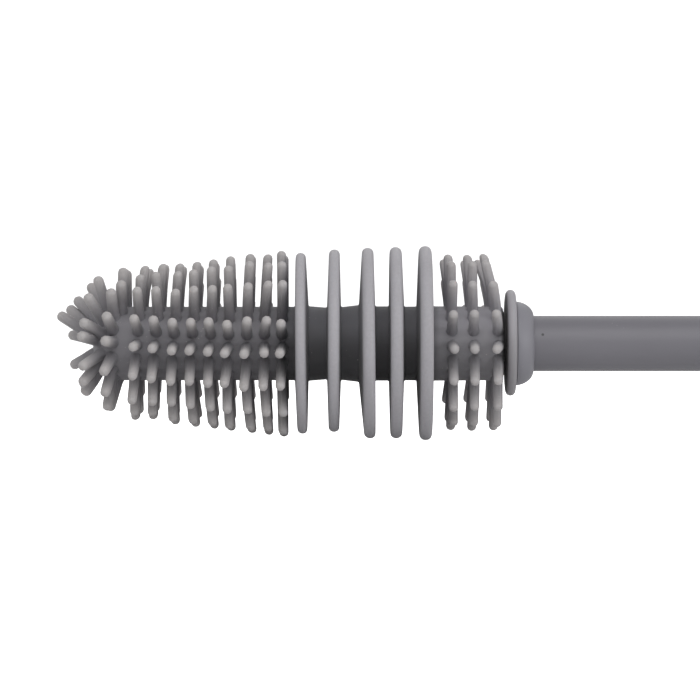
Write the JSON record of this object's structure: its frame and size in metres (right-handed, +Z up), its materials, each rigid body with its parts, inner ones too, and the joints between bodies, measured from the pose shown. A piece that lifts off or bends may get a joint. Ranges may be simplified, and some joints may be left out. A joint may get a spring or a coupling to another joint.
{
  "type": "silicone bottle brush",
  "caption": "Long-handled bottle brush whose soft silicone head has rings of round-tipped fingers and flexible discs, pushed onto a fluted core; slotted tab at the handle's end.",
  "frame": {"origin": "middle of the base of the bounding box, below the brush's axis", "axes": "+X along the brush from the nose to the hanging tab, +Z up, square to the tab's flats; the brush lies level, with its widest disc at z = 0"},
  "size_m": [0.3308, 0.0482, 0.0482],
  "materials": {
    "silicone": "matt moulded silicone, light warm grey",
    "handle_plastic": "satin moulded polypropylene, mid grey",
    "core_plastic": "natural moulded polypropylene"
  },
  "bodies": {
    "handle": {"handle_tube": "handle_plastic", "fluted_core": "core_plastic", "dome_collar": "handle_plastic", "end_cap": "handle_plastic"},
    "head": {"nose_fingers": "silicone", "front_fingers": "silicone", "disc_barrel": "silicone", "disc_1": "silicone", "disc_2": "silicone", "disc_3": "silicone", "disc_4": "silicone", "disc_5": "silicone", "rear_fingers": "silicone", "end_flange": "silicone"}
  },
  "joints": [
    {"name": "head_pull_off", "type": "slide", "parent": "handle", "child": "head", "axis": [-1, 0, 0], "range_m": [0, 0.104]}
  ]
}
